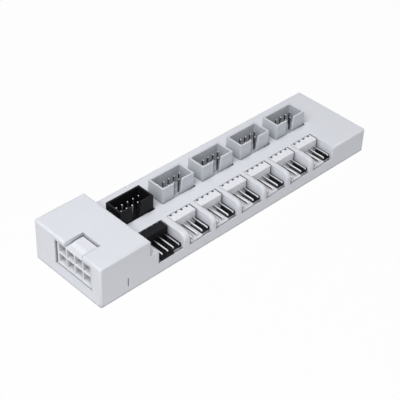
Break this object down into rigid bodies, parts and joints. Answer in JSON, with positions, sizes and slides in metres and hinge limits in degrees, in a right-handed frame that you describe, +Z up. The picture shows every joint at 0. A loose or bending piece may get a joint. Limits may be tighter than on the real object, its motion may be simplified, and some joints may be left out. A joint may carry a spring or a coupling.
{
  "type": "fan controller hub",
  "caption": "Low white bar with a taller power block at one end, a rear row of open box headers and a front row of fan headers in pockets, sharing power and control among case fans.",
  "frame": {"origin": "middle of the footprint, on the surface that the hub stands on", "axes": "+X along the bar from the power block to the plain end, +Y from the fan headers to the back rail, +Z up"},
  "size_m": [0.1326, 0.0344, 0.0167],
  "materials": {
    "casing": "fine moulded grain",
    "power_housing": "satin",
    "grey_header": "satin",
    "black_header": "satin",
    "white_header": "satin",
    "pin": "bright tin plate",
    "board": "black solder mask",
    "chip": "moulded",
    "can": "drawn"
  },
  "bodies": {
    "root": {"top_cover": "casing", "base_tray": "casing", "circuit_board": "board", "power_header": "power_housing", "power_pins": "pin", "hub_chip": "chip", "voltage_regulator": "chip", "clock_crystal": "can", "bulk_capacitors": "can", "data_in_header": "black_header", "data_in_pins": "pin", "data_out_1_header": "grey_header", "data_out_1_pins": "pin", "data_out_2_header": "grey_header", "data_out_2_pins": "pin", "data_out_3_header": "grey_header", "data_out_3_pins": "pin", "data_out_4_header": "grey_header", "data_out_4_pins": "pin", "signal_in_header": "black_header", "signal_in_pins": "pin", "fan_out_1_header": "white_header", "fan_out_1_pins": "pin", "fan_out_2_header": "white_header", "fan_out_2_pins": "pin", "fan_out_3_header": "white_header", "fan_out_3_pins": "pin", "fan_out_4_header": "white_header", "fan_out_4_pins": "pin", "fan_out_5_header": "white_header", "fan_out_5_pins": "pin", "fan_out_6_header": "white_header", "fan_out_6_pins": "pin"}
  },
  "joints": []
}
